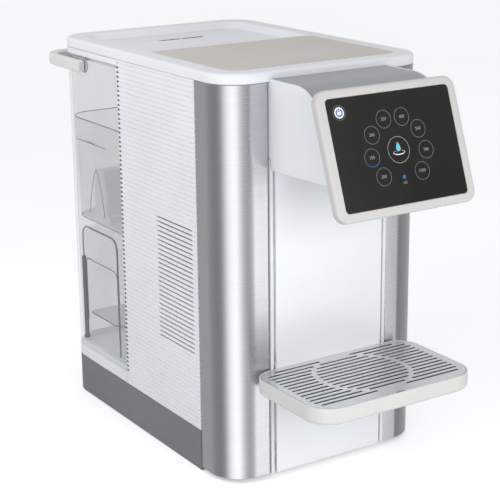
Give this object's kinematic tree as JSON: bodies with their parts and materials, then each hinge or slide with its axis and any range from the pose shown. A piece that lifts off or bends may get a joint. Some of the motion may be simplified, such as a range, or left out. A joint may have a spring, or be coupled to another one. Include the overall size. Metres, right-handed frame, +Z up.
{
  "type": "countertop water dispenser",
  "caption": "Countertop water dispenser: steel-cornered body, tilted touch display over a dispensing bay, slotted drip tray and a clear rear tank with a carrying handle.",
  "frame": {"origin": "on the counter, at the middle of the footprint's bounding box (tray and display in front, tank handle behind)", "axes": "+Z up, -Y towards the user (display, tray), +X to the user's right"},
  "size_m": [0.2268, 0.4363, 0.36],
  "materials": {
    "white_plastic": "satin cool white",
    "warm_white_plastic": "satin warm white",
    "pale_grey_plastic": "satin pale grey",
    "steel": "brushed",
    "satin_grey": "satin grey",
    "plinth_grey": "satin mid grey",
    "beige_mat": "matt warm beige",
    "clear_plastic": "clear",
    "black_glass": "polished black",
    "dark_plastic": "matt",
    "rubber": "matt",
    "silicone": "translucent milky",
    "aluminium": "satin",
    "circuit_board": "satin green",
    "brass": "satin",
    "filter_white": "matt"
  },
  "bodies": {
    "machine": {"steel_panel_left": "steel", "steel_panel_right": "steel", "side_panel_left": "white_plastic", "side_panel_right": "white_plastic", "rear_skirt": "white_plastic", "base_plinth": "plinth_grey", "bottom_plate": "plinth_grey", "foot_1": "rubber", "foot_2": "rubber", "foot_3": "rubber", "foot_4": "rubber", "front_frame": "white_plastic", "front_panel": "white_plastic", "head_shell": "white_plastic", "head_top_sheet": "satin_grey", "outlet_nozzle": "satin_grey", "display_bezel": "warm_white_plastic", "display_glass": "black_glass", "touch_board": "circuit_board", "top_cover": "white_plastic", "top_inset": "beige_mat", "flap_hinge_pin": "aluminium", "bay_wall": "white_plastic", "tank_deck": "white_plastic", "docking_port": "dark_plastic", "water_pump": "dark_plastic", "pump_bracket": "aluminium", "water_heater": "aluminium", "heater_clamp_1": "steel", "heater_clamp_2": "steel", "chilled_tank": "aluminium", "thermoelectric_plate": "white_plastic", "heat_sink": "aluminium", "fan_housing": "dark_plastic", "power_supply": "aluminium", "control_board": "circuit_board", "valve_block": "brass", "mains_inlet": "dark_plastic", "tank_hose": "silicone", "heater_feed_hose": "silicone", "chiller_feed_hose": "silicone", "hot_hose": "silicone", "cold_hose": "silicone", "outlet_hose": "silicone"},
    "tank": {"tank_body": "clear_plastic", "tank_lid": "white_plastic", "raw_water_reservoir": "clear_plastic", "filter_cartridge": "filter_white", "filtered_water_chamber": "clear_plastic", "outlet_valve_seat": "white_plastic", "level_probe": "dark_plastic", "handle_pivot_left": "steel", "handle_pivot_right": "steel"},
    "handle": {"tank_handle": "warm_white_plastic"},
    "valve_plunger": {"outlet_valve_plunger": "silicone"},
    "fill_flap": {"fill_flap": "pale_grey_plastic"},
    "drip_tray": {"drip_tray": "warm_white_plastic"},
    "drip_grille": {"drip_grille": "steel"},
    "fan_rotor": {"fan_rotor": "dark_plastic"}
  },
  "joints": [
    {"name": "tank_slide", "type": "slide", "parent": "machine", "child": "tank", "axis": [0, 1, 0], "range_m": [0, 0.15]},
    {"name": "handle_swing", "type": "hinge", "parent": "tank", "child": "handle", "pos_m": [0, 0.13945, 0.33735], "axis": [1, 0, 0], "range_deg": [0, 95]},
    {"name": "outlet_valve_press", "type": "slide", "parent": "tank", "child": "valve_plunger", "axis": [0, 1, 0], "range_m": [0, 0.003], "stiffness_N_per_m": 150, "springref_m": -0.003},
    {"name": "flap_hinge", "type": "hinge", "parent": "machine", "child": "fill_flap", "pos_m": [0, 0.17045, 0.3526], "axis": [-1, 0, 0], "range_deg": [0, 100]},
    {"name": "tray_pull", "type": "slide", "parent": "machine", "child": "drip_tray", "axis": [0, -1, 0], "range_m": [0, 0.04]},
    {"name": "grille_lift", "type": "slide", "parent": "drip_tray", "child": "drip_grille", "axis": [0, 0, 1], "range_m": [0, 0.03]},
    {"name": "fan_spin", "type": "hinge", "parent": "machine", "child": "fan_rotor", "pos_m": [-0.0897, -0.02305, 0.1634], "axis": [1, 0, 0], "continuous": true}
  ]
}
